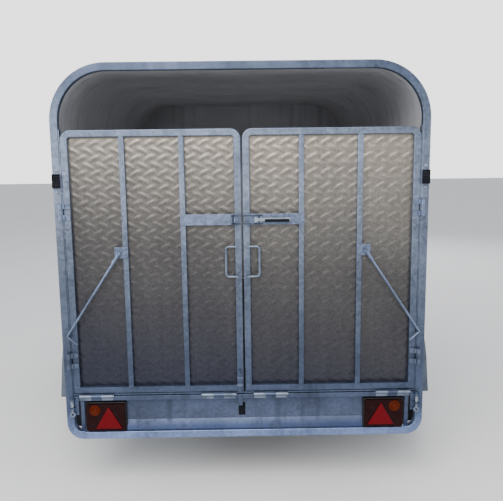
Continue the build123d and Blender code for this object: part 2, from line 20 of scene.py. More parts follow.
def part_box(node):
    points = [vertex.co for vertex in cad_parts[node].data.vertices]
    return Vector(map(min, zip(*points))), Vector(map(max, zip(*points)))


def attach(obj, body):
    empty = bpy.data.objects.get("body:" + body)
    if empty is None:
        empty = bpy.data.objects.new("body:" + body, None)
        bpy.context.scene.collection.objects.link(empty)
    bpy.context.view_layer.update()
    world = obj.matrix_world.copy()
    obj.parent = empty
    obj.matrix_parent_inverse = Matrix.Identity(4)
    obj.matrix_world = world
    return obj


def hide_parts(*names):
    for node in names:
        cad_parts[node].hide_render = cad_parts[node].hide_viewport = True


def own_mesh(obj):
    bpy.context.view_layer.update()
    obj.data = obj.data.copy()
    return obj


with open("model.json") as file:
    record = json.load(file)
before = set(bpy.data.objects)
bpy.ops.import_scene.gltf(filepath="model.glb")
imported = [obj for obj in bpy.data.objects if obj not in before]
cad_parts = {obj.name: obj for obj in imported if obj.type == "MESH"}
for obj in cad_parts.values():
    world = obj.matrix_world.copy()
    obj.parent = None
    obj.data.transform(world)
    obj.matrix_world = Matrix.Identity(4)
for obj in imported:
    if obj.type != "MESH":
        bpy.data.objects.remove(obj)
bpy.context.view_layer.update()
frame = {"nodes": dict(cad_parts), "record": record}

bodies = frame["record"]["behaviour"]["bodies"]
body_of = {node: body for body, nodes in bodies.items() for node in nodes}
slot_of = {part["node"]: part["material_slot"] for part in frame["record"]["subparts"]}

# %% [markdown]
# ## Camera and studio
#
# The rear of the trailer is looked at from a little above gate height, almost square on, and slightly
# downwards. The camera's place is given from the rear face, and its turn as three small angles.
#
# A camera can be aimed with a Track To constraint, or its matrix can be written from three directions.
# The matrix is used, because it is exact and leaves nothing live in the file.

# %% Camera
rear_low, rear_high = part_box("rear_posts")
rear = rear_low.y
yaw, pitch, roll = 0.0102, 0.1596, -0.0123

ahead = Vector((sin(yaw) * cos(pitch), cos(yaw) * cos(pitch), -sin(pitch)))
level = Vector((cos(yaw), -sin(yaw), 0))
upward = level.cross(ahead)
right = cos(roll) * level + sin(roll) * upward
top = -sin(roll) * level + cos(roll) * upward

lens = bpy.data.cameras.new("rear_view")
lens.sensor_fit = "HORIZONTAL"
lens.sensor_width = 36
lens.lens = 46.02
camera = bpy.data.objects.new("rear_view", lens)
turn = Matrix((right, top, -ahead)).transposed().to_4x4()
camera.matrix_world = Matrix.Translation((0.0121, rear - 3.255, 1.8366)) @ turn
bpy.context.scene.collection.objects.link(camera)
bpy.context.scene.camera = camera
print("camera stands", round(rear - camera.location.y, 3), "m behind the rear face")

# %% [markdown]
# Zinc shows mostly what it mirrors, so large soft lights suit it: a wide one over and behind the
# camera for the gates, one each side for the edges of the tubes, one in front, and a weak one inside
# the cabin so that the roof doesn't go black. The world lights the trailer with an even pale grey, and
# shows the camera a brighter backdrop.

# %% Lights and world
def soft_light(name, at, aim, size, power, colour):
    """A square area light that faces a point."""
    data = bpy.data.lights.new(name, "AREA")
    data.size = size
    data.energy = power
    data.color = colour
    light = bpy.data.objects.new(name, data)
    facing = (Vector(aim) - Vector(at)).to_track_quat("-Z", "Y")
    light.matrix_world = Matrix.LocRotScale(Vector(at), facing, None)
    bpy.context.scene.collection.objects.link(light)


gate_middle = (0, rear, 1.3)
soft_light("sky", (-1.0, rear - 4.0, 4.6), gate_middle, 4.0, 520, (1.0, 0.96, 0.90))
soft_light("left_side", (-5.5, rear - 1.5, 2.6), gate_middle, 3.0, 200, (0.86, 0.93, 1.0))
soft_light("right_side", (5.5, rear - 2.0, 2.4), gate_middle, 3.0, 130, (0.90, 0.95, 1.0))
soft_light("front", (2.5, 6.0, 4.5), (0, 1.0, 1.0), 4.0, 260, (1.0, 1.0, 1.0))
soft_light("cabin", (0, rear + 1.3, 0.75), (0, rear + 1.9, 2.2), 1.4, 3.2, (0.94, 0.95, 1.0))

world = bpy.data.worlds.new("studio")
world.use_nodes = True
sky_tree = world.node_tree
surround = sky_tree.nodes["Background"]
backdrop = sky_tree.nodes.new("ShaderNodeBackground")
for light, colour, strength in ((surround, (0.93, 0.95, 1.0, 1), 1.15), (backdrop, (1, 1, 1, 1), 2.4)):
    light.inputs["Color"].default_value = colour
    light.inputs["Strength"].default_value = strength
rays = sky_tree.nodes.new("ShaderNodeLightPath")
either = sky_tree.nodes.new("ShaderNodeMixShader")
sky_tree.links.new(rays.outputs["Is Camera Ray"], either.inputs["Fac"])
sky_tree.links.new(surround.outputs["Background"], either.inputs[1])
sky_tree.links.new(backdrop.outputs["Background"], either.inputs[2])
sky_tree.links.new(either.outputs["Shader"], sky_tree.nodes["World Output"].inputs["Surface"])
bpy.context.scene.world = world

# %% [markdown]
# ## Writing materials as arithmetic
#
# A finish is a small graph of nodes. Wiring them one by one is slow to read, so each output socket is
# wrapped in a class that knows sums and products: `0.2 + grain * 0.1` adds the Math nodes by itself.
# Colours go through Mix nodes, because a Math node would turn them grey. Every other node comes from
# one method, which sets the node's options first and its sockets after.

# %% Socket wrapper and finish builder
class Wire:
    """One output of a node, with the arithmetic that adds Math nodes."""

    def __init__(self, finish, socket):
        self.finish = finish
        self.socket = socket

    def math(self, operation, *terms):
        return self.finish.node("Math", {"operation": operation}, dict(enumerate(terms)))

    def __add__(self, other):
        return self.math("ADD", self, other)

    def __sub__(self, other):
        return self.math("SUBTRACT", self, other)

    def __rsub__(self, other):
        return self.math("SUBTRACT", other, self)

    def __mul__(self, other):
        return self.math("MULTIPLY", self, other)

    def __pow__(self, other):
        return self.math("POWER", self, other)

    def below(self, limit):
        return self.math("LESS_THAN", self, limit)

    def ramp(self, low, high):
        """0 at low, 1 at high, and held there outside."""
        return self.finish.node("MapRange", {}, {0: self, 1: low, 2: high, 3: 0.0, 4: 1.0})

    __radd__ = __add__
    __rmul__ = __mul__


class Finish:
    """A material made from Python expressions."""

    def __init__(self, name, **constants):
        self.material = bpy.data.materials.new(name)
        self.material.use_nodes = True
        self.tree = self.material.node_tree
        self.shader = self.tree.nodes["Principled BSDF"]
        for socket, value in constants.items():
            self.shader.inputs[socket.replace("_", " ")].default_value = value
        self.place = self.node("TexCoord", {}, {}, "Object")

    def node(self, kind, settings, sockets, output=0):
        """Adds one node: its options, then its sockets. Returns the wire of one output."""
        made = self.tree.nodes.new("ShaderNode" + kind)
        for option, value in settings.items():
            if option == "stops":
                self.set_stops(made.color_ramp, value)
            else:
                setattr(made, option, value)
        for socket, value in sockets.items():
            if isinstance(value, Wire):
                self.tree.links.new(value.socket, made.inputs[socket])
            else:
                made.inputs[socket].default_value = value
        return Wire(self, made.outputs[output])

    @staticmethod
    def set_stops(ramp, stops):
        """Gives a colour ramp its stops, each a place and a colour."""
        while len(ramp.elements) < len(stops):
            ramp.elements.new(0.5)
        for element, (place, colour) in zip(ramp.elements, stops):
            element.position = place
            element.color = (*colour, 1)

    def stretched(self, scale):
        """Object coordinates stretched by a scale, for a pattern that runs one way."""
        return self.node("Mapping", {}, {"Vector": self.place, "Scale": scale})

    def noise(self, scale, detail=3.0, place=None):
        return self.node("TexNoise", {}, {"Vector": place or self.place, "Scale": scale, "Detail": detail})

    def cells(self, scale, output="Color"):
        made = self.node("TexVoronoi", {}, {"Vector": self.place, "Scale": scale}, output)
        return made if output == "Distance" else self.node("SeparateColor", {}, {"Color": made})

    def height(self):
        return self.node("SeparateXYZ", {}, {"Vector": self.place}, "Z")

    def mix(self, share, first, second, blend="MIX"):
        """One colour over another, by a share."""
        colours = [c if isinstance(c, Wire) else (*c, 1) for c in (first, second)]
        options = {"data_type": "RGBA", "blend_type": blend}
        return self.node("Mix", options, {0: share, 6: colours[0], 7: colours[1]}, 2)

    def tinted(self, share, stops):
        return self.node("ValToRGB", {"stops": stops}, {0: share})

    def bump(self, height, strength, distance):
        return self.node("Bump", {}, {"Strength": strength, "Distance": distance, "Height": height}, "Normal")

    def use(self, **wires):
        """Feeds wires to the shader's own sockets."""
        for socket, wire in wires.items():
            self.tree.links.new(wire.socket, self.shader.inputs[socket.replace("_", " ")])
        return self.material

# %% [markdown]
# ## Hot-dip galvanised steel
#
# The frame, gates and sill were dipped whole in molten zinc. It sets in crystals about a centimetre
# across, each a slightly different grey, and drips leave faint vertical runs.
#
# The crystals come from Voronoi cells, and the runs from noise stretched upright. Zinc mirrors what is
# round it: bright sky high up, dark ground low down. A studio has neither, so that change of light is
# painted in with a colour ramp on the height. It belongs to one place and one day, and it turns with a
# gate that swings. The steel of the body, which stands further forward, has a paler and plainer ramp.

# %% Galvanised steel
def galvanised(name, stops, roughness, darkness=0.35, foot=0.3, head=2.3):
    """Zinc whose colour follows a ramp from the height of the foot to that of the head."""
    finish = Finish(name, Metallic=0.85)
    crystals = finish.cells(75)
    clouds = finish.noise(5.5, 5)
    runs = finish.noise(16, 4, finish.stretched((1.0, 1.0, 0.06)))
    plain = finish.tinted(finish.height().ramp(foot, head), stops)
    shade = 0.30 + 0.30 * crystals + 1.05 * clouds
    grey = finish.node("CombineColor", {}, {0: shade, 1: shade, 2: shade})
    spangled = finish.mix(1.0, plain, grey, "MULTIPLY")
    streak = runs.ramp(0.50, 0.72) * darkness
    streaked = finish.mix(streak, spangled, tuple(0.5 * c for c in stops[1][1]))
    pits = finish.noise(220, 2)
    return finish.use(
        Base_Color=streaked,
        Roughness=roughness + 0.16 * crystals + 0.20 * streak,
        Normal=finish.bump(crystals * 0.4 + pits, 0.25, 0.0006),
    )


frame_zinc = galvanised("frame_zinc", [
    (0.02, (0.150, 0.205, 0.370)), (0.08, (0.060, 0.082, 0.138)), (0.22, (0.055, 0.070, 0.112)),
    (0.45, (0.105, 0.130, 0.182)), (0.62, (0.158, 0.188, 0.255)), (0.78, (0.150, 0.184, 0.255)),
    (0.93, (0.060, 0.079, 0.125)),
], 0.36)
sill_zinc = galvanised("sill_zinc", [
    (0.20, (0.022, 0.034, 0.078)), (0.36, (0.066, 0.084, 0.136)), (1.00, (0.056, 0.073, 0.124)),
], 0.42, 0.75, 0.3, 0.6)
plate_zinc = galvanised("plate_zinc", [
    (0.12, (0.150, 0.185, 0.265)), (0.16, (0.080, 0.102, 0.155)), (0.60, (0.145, 0.180, 0.275)),
], 0.34, 0.2)
body_zinc = galvanised("body_zinc", [
    (0.15, (0.072, 0.086, 0.114)), (0.35, (0.140, 0.155, 0.180)), (1.00, (0.215, 0.230, 0.255)),
], 0.38, 0.5)

# %% [markdown]
# ## The gate sheets and the walls
#
# The embossed gate sheets mirror even more: warm and light at the top, quickly darker below the latch,
# nearly blue-black at the foot, and darker to the left than to the right. That reflection is painted in
# with the same kind of ramp, on the height and a little on the side. Noise is added to the height, so
# that the change isn't a straight line. The wall sheets are smooth, pale grey and lightly stained.

# %% Sheet finishes
def gate_sheet_finish():
    """Zinc sheet with painted reflection: warm and bright above, dark and blue below."""
    finish = Finish("gate_sheet_zinc", Metallic=0.9)
    wander = finish.noise(2.4, 3)
    across = finish.node("SeparateXYZ", {}, {"Vector": finish.place}, "X")
    height = finish.height() + 0.30 * wander - 0.15 + 0.16 * across
    share = height.ramp(0.55, 1.95)
    # Painted reflection: the colour follows height and side, as the mirrored sky and ground would.
    painted_reflection = finish.tinted(share, [
        (0.00, (0.028, 0.030, 0.044)),
        (0.30, (0.050, 0.049, 0.054)),
        (0.52, (0.078, 0.075, 0.074)),
        (0.70, (0.130, 0.124, 0.116)),
        (1.00, (0.235, 0.212, 0.183)),
    ])
    runs = finish.noise(22, 4, finish.stretched((1.0, 1.0, 0.05)))
    flecks = finish.cells(120)
    shade = 0.72 + 0.30 * flecks + 0.34 * runs
    grey = finish.node("CombineColor", {}, {0: shade, 1: shade, 2: shade})
    # The painted reflection, multiplied by real flecks and drip runs.
    worn = finish.mix(1.0, painted_reflection, grey, "MULTIPLY")
    rough = finish.noise(30, 3)
    return finish.use(
        Base_Color=worn,
        Roughness=0.30 + 0.22 * rough,
        Normal=finish.bump(rough, 0.15, 0.0008),
    )


def wall_finish(name, colour):
    """Smooth zinc sheet with faint cloudy stains and runs."""
    finish = Finish(name, Metallic=0.15)
    clouds = finish.noise(2.2, 4)
    runs = finish.noise(14, 4, finish.stretched((1.0, 1.0, 0.05)))
    stained = finish.mix(clouds.ramp(0.35, 0.75) * 0.6, colour, tuple(0.55 * c for c in colour))
    streaked = finish.mix(runs.ramp(0.52, 0.75) * 0.5, stained, tuple(0.35 * c for c in colour))
    return finish.use(
        Base_Color=streaked,
        Roughness=0.42 + 0.20 * clouds,
        Normal=finish.bump(finish.noise(90, 2), 0.12, 0.0006),
    )


gate_sheet_zinc = gate_sheet_finish()
wall_zinc = wall_finish("wall_zinc", (0.42, 0.42, 0.44))

# %% [markdown]
# ## Small metal, paint, rubber, plastic and wood
#
# The pins, levers and stays are bright zinc that has lost its shine in the corners. The coupling is
# painted black, the wheels silver. Dust makes the tyres grey-brown, and the small rubber pieces are
# nearly black. The lamp lenses have fine moulded ribs, and the deck is brown faced plywood with a
# rolled grip pattern.

# %% Other finishes
def speckled(name, colour, worn, roughness, metallic=0.0, size=40, bump=0.2, coat=0.0, gloss=0.5):
    """A plain finish with cloudy wear, fine grain and an uneven sheen."""
    finish = Finish(name, Metallic=metallic, Coat_Weight=coat, Specular_IOR_Level=gloss)
    wear = finish.noise(size * 0.3, 5)
    grain = finish.noise(size * 8, 2)
    return finish.use(
        Base_Color=finish.mix(wear.ramp(0.45, 0.70), colour, worn),
        Roughness=roughness + 0.18 * wear,
        Normal=finish.bump(grain + wear, bump, 0.0005),
    )


def lens_finish(name, deep, raised, front):
    """Moulded plastic: ribs across, and another colour in front of a plane."""
    finish = Finish(name, Coat_Weight=0.02, Coat_Roughness=0.12, IOR=1.40, Specular_IOR_Level=0.12)
    ribs = finish.node("TexWave", {"bands_direction": "X"}, {"Vector": finish.place, "Scale": 60.0})
    prisms = finish.cells(380, "Distance")
    depth = finish.node("SeparateXYZ", {}, {"Vector": finish.place}, "Y")
    colour = finish.mix(depth.below(front), deep, raised)
    dusty = finish.mix(finish.noise(25, 4).ramp(0.45, 0.8) * 0.03, colour, (0.10, 0.085, 0.075))
    return finish.use(
        Base_Color=dusty,
        Roughness=0.22 + 0.15 * prisms,
        Normal=finish.bump(ribs + prisms, 0.30, 0.0008),
    )


def deck_finish():
    """Brown faced plywood with a rolled grip pattern."""
    finish = Finish("deck_ply")
    grip = finish.cells(90, "Distance")
    muck = finish.noise(2.5, 5)
    return finish.use(
        Base_Color=finish.mix(muck.ramp(0.4, 0.7), (0.045, 0.028, 0.018), (0.13, 0.10, 0.075)),
        Roughness=0.50 + 0.3 * muck,
        Normal=finish.bump(grip, 0.6, 0.001),
    )


signal_low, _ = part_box("lamp_lenses_red")
triangle_face = signal_low.y + 0.003
finishes = {
    "galvanised_steel": frame_zinc,
    "zinc_sheet": wall_zinc,
    "bright_zinc": speckled("bright_zinc", (0.36, 0.40, 0.46), (0.16, 0.18, 0.21), 0.26,
                            metallic=1.0, size=60),
    "tyre_rubber": speckled("tyre_rubber", (0.018, 0.018, 0.019), (0.060, 0.055, 0.048), 0.62,
                            size=30, bump=0.5),
    "black_rubber": speckled("black_rubber", (0.004, 0.005, 0.007), (0.009, 0.010, 0.013), 0.60,
                             size=60, bump=0.4, gloss=0.08),
    "red_lens": lens_finish("red_lens", (0.008, 0.0003, 0.0008), (0.080, 0.0, 0.0025), triangle_face),
    "amber_lens": lens_finish("amber_lens", (0.060, 0.008, 0.0015), (0.090, 0.013, 0.003), triangle_face),
    "lamp_black": speckled("lamp_black", (0.006, 0.006, 0.007), (0.014, 0.014, 0.015), 0.42,
                           size=50, gloss=0.2),
    "wheel_paint": speckled("wheel_paint", (0.42, 0.43, 0.45), (0.24, 0.235, 0.23), 0.34,
                            metallic=0.5, size=20, bump=0.15, coat=0.2),
    "deck_ply": deck_finish(),
    "cast_black": speckled("cast_black", (0.020, 0.020, 0.022), (0.055, 0.050, 0.048), 0.40,
                           metallic=0.1, bump=0.5, coat=0.15),
}

# %% [markdown]
# Every part is dressed by the material slot that its record names. Parts that are remade further down
# are hidden then, and the rest keep this finish on their own mesh.

# %% Dress the parts
for name, node in frame["nodes"].items():
    node.data.materials.clear()
    node.data.materials.append(finishes[slot_of[name]])
print(len(finishes), "finishes on", len(frame["nodes"]), "parts")

# %% [markdown]
# ## Making and placing pieces
#
# A new piece is a bmesh until it is done. Then it becomes an object whose mesh already holds its
# place, it rides on the body of the part that it belongs to, and it takes that part's slot. Weighted
# normals keep the flats flat and let the light roll only over the rounded edges.

# %% Finish a piece
def settle(bm, name, like, finish=None, sharp=40, replaces=()):
    """Turns a bmesh into an object that rides with the part it is like."""
    bmesh.ops.remove_doubles(bm, verts=bm.verts, dist=1e-6)
    mesh = bpy.data.meshes.new(name)
    bm.to_mesh(mesh)
    bm.free()
    mesh.shade_smooth()
    mesh.set_sharp_from_angle(angle=radians(sharp))
    mesh.materials.append(finish or finishes[slot_of[like]])
    piece = bpy.data.objects.new(name, mesh)
    bpy.context.scene.collection.objects.link(piece)
    piece.modifiers.new("even_light", "WEIGHTED_NORMAL").keep_sharp = True
    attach(piece, body_of[like])
    if replaces:
        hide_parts(*replaces)
    return piece


# %% [markdown]
# ## Rounded edges
#
# No tube or plate on the real trailer has a knife edge: square tube has corners of a few millimetres
# radius, and they catch a bright line of light. The exact parts are loose triangles, so a copy is
# merged, its flat areas are joined up again, and every edge that turns sharply is bevelled.
#
# Where two lengths of tube were welded in line, their end faces are removed before merging, so that
# the bend runs on without a seam.

# %% Soften parts
def softened(nodes, width, finish=None, in_line=(), butts=(), segments=2, name=None):
    """Copies of parts with rounded edges. in_line lists (axis, place) of end faces to weld shut,
    and butts those of end faces whose edges stay sharp."""
    bm = bmesh.new()
    for node in nodes:
        bm.from_mesh(frame["nodes"][node].data)
    bmesh.ops.remove_doubles(bm, verts=bm.verts, dist=1e-5)
    ends = [
        f for f in bm.faces
        if any(abs(f.normal[axis]) > 0.99 and abs(f.calc_center_median()[axis] - at) < 0.0006
               for axis, at in in_line)
    ]
    bmesh.ops.delete(bm, geom=ends, context="FACES")
    if in_line:
        meeting = [v for v in bm.verts if any(abs(v.co[axis] - at) < 0.0006 for axis, at in in_line)]
        bmesh.ops.remove_doubles(bm, verts=meeting, dist=0.0005)
    bmesh.ops.dissolve_limit(bm, angle_limit=radians(1.5), verts=bm.verts, edges=bm.edges)
    edges = [
        e for e in bm.edges
        if len(e.link_faces) == 2 and e.calc_face_angle(0) > radians(38)
        and not any(all(abs(v.co[axis] - at) < 0.0006 for v in e.verts) for axis, at in butts)
    ]
    bmesh.ops.bevel(bm, geom=edges, offset=width, offset_type="OFFSET", affect="EDGES",
                    segments=segments, profile=0.5, material=-1, clamp_overlap=True)
    title = name or nodes[0] + "_soft"
    return settle(bm, title, nodes[0], finish, replaces=nodes)


_, arch_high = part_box("rear_arch")
post_top = rear_high.z
bumper_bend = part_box("rear_posts")[0].z
softened(("rear_posts", "rear_arch", "bumper_tube"), 0.004, None,
         [(2, post_top), (2, bumper_bend), (2, bumper_bend - 0.0003)], segments=3, name="rear_hoop")
print("rear hoop is", round(arch_high.z, 3), "m high")

# %% [markdown]
# The gates are frames of square tube with bent top corners, and the other steel parts are plate, bar
# and tube of their own gauge. Thin plate has a small edge radius and thick tube a larger one.

# %% Gate frames
leaf_low, leaf_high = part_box("right_leaf_frame")
leaf_bend = 0.050
bend_at = leaf_high.z - leaf_bend
rail_top = leaf_low.z + 0.035
for side, s in (("left", -1), ("right", 1)):
    inner_at, outer_at = s * (0.004 + leaf_bend), s * (leaf_high.x - leaf_bend)
    gap = s * 0.0003
    softened((side + "_leaf_frame",), 0.004, None,
             [(2, bend_at), (2, bend_at - 0.0003), (0, inner_at), (0, inner_at + gap),
              (0, outer_at), (0, outer_at - gap)],
             [(2, rail_top), (2, rail_top + 0.0003)], segments=3)

# %% Other steel parts
edge_of = {
    "sill_beam": 0.002, "sill_panel": 0.0008, "sill_hinge_leaves": 0.0015, "sill_hinge_pins": 0.001,
    "stay_keepers": 0.0012, "bolt_brackets": 0.0009, "ramp_carrier": 0.0012, "drop_bolt": 0.0012,
    "left_spring_bolt": 0.001, "right_spring_bolt": 0.001, "left_stay": 0.001, "right_stay": 0.001,
    "latch_lever": 0.0025, "latch_loop": 0.0008, "body_hoops": 0.003, "vent_bars": 0.003,
    "floor_board": 0.002, "chassis_frame": 0.004, "axle_beams": 0.005, "mudguards": 0.0009,
    "drawbar_tubes": 0.005, "overrun_housing": 0.004, "coupling_head": 0.004, "coupling_handle": 0.002,
    "handbrake_lever": 0.002, "jockey_clamp": 0.003, "jockey_tube": 0.001, "jockey_leg": 0.001,
    "jockey_crank": 0.0015, "jockey_fork": 0.0012, "jockey_wheel": 0.002, "lamp_housings": 0.004,
    "buffers_and_flaps": 0.0015, "gaiter": 0.0015, "left_handle": 0.0015, "right_handle": 0.0015,
}
dark_steel = speckled("dark_steel", (0.040, 0.050, 0.075), (0.018, 0.022, 0.032), 0.34,
                      metallic=0.9, size=80)
handle_zinc = speckled("handle_zinc", (0.145, 0.178, 0.24), (0.075, 0.092, 0.13), 0.38,
                       metallic=0.9, size=60)
finish_of = {"left_spring_bolt": handle_zinc, "right_spring_bolt": handle_zinc,
             "sill_hinge_leaves": handle_zinc, "left_handle": handle_zinc, "right_handle": handle_zinc,
             "sill_panel": sill_zinc, "sill_beam": sill_zinc, "latch_loop": dark_steel,
             "drop_bolt": frame_zinc, "left_stay": plate_zinc, "right_stay": plate_zinc}
body_steel = ("body_hoops", "vent_bars", "chassis_frame", "axle_beams", "mudguards", "drawbar_tubes",
              "jockey_clamp", "jockey_tube", "jockey_leg", "jockey_fork")
finish_of.update(dict.fromkeys(body_steel, body_zinc))
for node, width in edge_of.items():
    softened((node,), width, finish_of.get(node))
for side in ("left", "right"):
    softened((side + "_leaf_fittings",), 0.0009, plate_zinc)
print(len(edge_of) + 4, "steel parts softened")

# %% [markdown]
# ## Embossed gate sheets
#
# The sheet in each gate is rolled with rows of raised crescents, so that it is stiff and doesn't show
# dents. The crescents lean one way in one row and the other way in the next, and each row is set half
# a step along from the one above it.
#
# A texture could fake this, but the crescents throw small shadows and change the outline of every
# reflection, so they are real. A fine grid is laid over the sheet, and each point is pushed out by a
# small height worked out from its place in the pattern: a long bump with a bite taken out below,
# for the two rows that the point lies between.

# %% Emboss
across, down = 0.069, 0.038
bump_height = 0.0023


def crescent(x, z):
    """Height of the pattern at a place on the sheet."""
    height = 0
    for row in (floor(z / down), floor(z / down) + 1):
        lean = 1 if row % 2 else -1
        along = (x + lean * across / 4) % across - across / 2
        up = z - row * down - lean * 0.45 * along
        cap = max(0, 1 - hypot(along / 0.031, up / 0.0165) ** 2)
        bite = max(0, 1 - hypot(along / 0.021, (up + 0.0125) / 0.012) ** 2)
        height = max(height, cap ** 0.8 - 1.1 * bite)
    return bump_height * height


def embossed_sheet(side):
    """One pressed sheet, two millimetres thick, in place of the flat one."""
    low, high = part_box(side + "_leaf_sheet")
    size, middle = high - low, (low + high) / 2
    front = high.y - 0.002 - bump_height
    bm = bmesh.new()
    columns, rows = round(size.x / 0.0058), round(size.z / 0.0058)
    bmesh.ops.create_grid(bm, x_segments=columns, y_segments=rows, size=0.5)
    bmesh.ops.scale(bm, vec=(size.x, size.z, 1), verts=bm.verts)
    bmesh.ops.rotate(bm, cent=(0, 0, 0), matrix=Matrix.Rotation(pi / 2, 3, "X"), verts=bm.verts)
    bmesh.ops.translate(bm, vec=(middle.x, front + bump_height, middle.z), verts=bm.verts)
    for point in bm.verts:
        rim = min(point.co.x - low.x, high.x - point.co.x, point.co.z - low.z, high.z - point.co.z)
        point.co.y -= crescent(point.co.x, point.co.z) * min(1, rim / 0.012)
    bmesh.ops.recalc_face_normals(bm, faces=bm.faces)
    if sum(f.normal.y for f in bm.faces) > 0:
        bmesh.ops.reverse_faces(bm, faces=bm.faces)
    bmesh.ops.solidify(bm, geom=bm.faces, thickness=0.0015)
    node = side + "_leaf_sheet"
    settle(bm, side + "_embossed_sheet", node, gate_sheet_zinc, sharp=60, replaces=(node,))
    return columns * rows


print(embossed_sheet("left") + embossed_sheet("right"), "faces on the two pressed sheets")

# %% [markdown]
# ## Turned pieces
#
# Tyres, rims, lenses and nuts are round. Their outline is drawn once as a chain of points, each with
# its place along the axis and its distance from it, and spun a full turn. The doubled seam is merged
# and the normals are pointed outwards.

# %% Spin an outline
def turned(bm, outline, centre, axis, steps, closed=True):
    """Spins a chain of (along, out) points about an axis and returns the new faces."""
    axis = Vector(axis)
    out = Vector((0, 0, 1)) if abs(axis.z) < 0.5 else Vector((1, 0, 0))
    before = set(bm.faces)
    chain = [bm.verts.new(Vector(centre) + axis * along + out * radius) for along, radius in outline]
    pairs = list(zip(chain, chain[1:])) + ([(chain[-1], chain[0])] if closed else [])
    edges = [bm.edges.new(pair) for pair in pairs]
    bmesh.ops.spin(bm, geom=chain + edges, cent=centre, axis=axis, angle=2 * pi, steps=steps,
                   use_merge=True)
    faces = [f for f in bm.faces if f not in before]
    bmesh.ops.remove_doubles(bm, verts=list({v for f in faces for v in f.verts}), dist=1e-6)
    faces = [f for f in bm.faces if f not in before]
    bmesh.ops.recalc_face_normals(bm, faces=faces)
    return faces


# %% [markdown]
# ## Tyres and wheels
#
# A trailer tyre has a round shoulder, straight grooves round the tread, and blocks between them. The
# outline gives the grooves. Each tread face is then inset and pushed out, which makes the blocks with
# their sloping sides.

# %% Tyres
def tyre(node):
    low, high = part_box(node)
    centre = (low + high) / 2
    outer = (high.z - low.z) / 2
    wall = (high.x - low.x) / 2
    bead, tread = 0.1653, outer - 0.0045
    half_outline = [(wall - 0.0245, bead), (wall - 0.019, bead + 0.010), (wall - 0.010, bead + 0.017),
                    (wall - 0.001, bead + 0.045), (wall, outer - 0.063), (wall - 0.001, outer - 0.046),
                    (wall - 0.006, outer - 0.024), (wall - 0.015, outer - 0.011)]
    ribs = []
    for low_x, high_x in ((0.061, 0.036), (0.031, 0.006)):
        ribs += [(low_x, tread - 0.001), (high_x, tread), (high_x - 0.001, tread - 0.007),
                 (high_x - 0.004, tread - 0.007)]
    ribs = [(x, r) for x, r in ribs if x > 0.0005]
    upper = half_outline + ribs
    outline = upper + [(-x, r) for x, r in reversed(upper)]
    bm = bmesh.new()
    faces = turned(bm, outline, centre, (1, 0, 0), 84)
    blocks = [f for f in faces
              if all(hypot(v.co.y - centre.y, v.co.z - centre.z) > tread - 0.0025 for v in f.verts)]
    bmesh.ops.inset_individual(bm, faces=blocks, thickness=0.0022, depth=0.0042)
    settle(bm, node + "_treaded", node, sharp=35, replaces=(node,))
    return len(blocks)


tyres = [n for n in body_of if n.endswith("_tyre")]
print(sum(tyre(n) for n in tyres), "tread blocks on", len(tyres), "tyres")

# %% [markdown]
# The wheel is a rolled rim with a pressed disc welded inside it. The disc has a raised hub, a ring of
# hand holes, and stands on the brake drum. A hole is made by deleting a face on both skins of the disc
# and bridging the two openings.

# %% Wheels
def wheel(node, s):
    tyre_low, tyre_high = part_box(node.replace("_wheel", "_tyre"))
    centre = (tyre_low + tyre_high) / 2
    bm = bmesh.new()
    rim = 0.165
    barrel = [(-0.072, rim + 0.013), (-0.067, rim + 0.0125), (-0.064, rim - 0.001), (-0.030, rim - 0.002),
              (-0.024, rim - 0.010), (0.020, rim - 0.010), (0.026, rim - 0.002), (0.064, rim - 0.001),
              (0.067, rim + 0.0125), (0.072, rim + 0.013), (0.072, rim + 0.009), (0.069, rim - 0.006),
              (0.024, rim - 0.007), (0.019, rim - 0.014), (-0.023, rim - 0.014), (-0.028, rim - 0.007),
              (-0.069, rim - 0.006), (-0.072, rim + 0.009)]
    turned(bm, barrel, centre, (s, 0, 0), 64)
    outer_skin = [(0.012, 0.1512), (0.016, 0.146), (0.030, 0.132), (0.033, 0.120), (0.031, 0.106),
                  (0.022, 0.088), (0.020, 0.070), (0.021, 0.034)]
    inner_skin = [(along - 0.004, out) for along, out in reversed(outer_skin)]
    disc = turned(bm, outer_skin + inner_skin, centre, (s, 0, 0), 64)
    openings = {}
    for face in disc:
        middle = face.calc_center_median() - centre
        out = hypot(middle.y, middle.z)
        slice_number = round((atan2(middle.z, middle.y) % (2 * pi)) / (2 * pi) * 64 - 0.5)
        if 0.107 < out < 0.119 and slice_number % 8 < 3:
            openings.setdefault(slice_number // 8, []).append(face)
    for faces in openings.values():
        ring = [e for f in faces for e in f.edges]
        rims = [e for e in ring if ring.count(e) == 1]
        bmesh.ops.delete(bm, geom=faces, context="FACES")
        bmesh.ops.bridge_loops(bm, edges=[e for e in rims if e.is_valid])
    drum = [(-0.137, 0.030), (-0.137, 0.106), (-0.131, 0.112), (0.004, 0.112), (0.012, 0.104),
            (0.012, 0.034)]
    turned(bm, drum, centre, (s, 0, 0), 48)
    hub = [(0.014, 0.034), (0.020, 0.0355), (0.024, 0.034), (0.040, 0.032), (0.044, 0.029), (0.046, 0.0)]
    turned(bm, hub, centre, (s, 0, 0), 36, closed=False)
    for n in range(4):
        angle = radians(45 + 90 * n)
        at = centre + Vector((s * 0.029, 0.049 * cos(angle), 0.049 * sin(angle)))
        facing = Matrix.Rotation(pi / 2, 4, "Y")
        nut = bmesh.ops.create_cone(bm, cap_ends=True, segments=6, radius1=0.0105, radius2=0.0105,
                                    depth=0.018, matrix=Matrix.Translation(at) @ facing)["verts"]
        rim_edges = [e for e in {e for v in nut for e in v.link_edges}
                     if all(s * (v.co.x - at.x) > 0.005 for v in e.verts)]
        bmesh.ops.bevel(bm, geom=rim_edges, offset=0.0018, affect="EDGES", segments=2, profile=0.5,
                        material=-1)
    settle(bm, node + "_pressed", node, sharp=38, replaces=(node,))


wheels = [n for n in body_of if n.endswith("_wheel") and n != "jockey_wheel"]
for n in wheels:
    wheel(n, -1 if "left" in n else 1)
print(len(wheels), "wheels with four nuts and eight hand holes each")

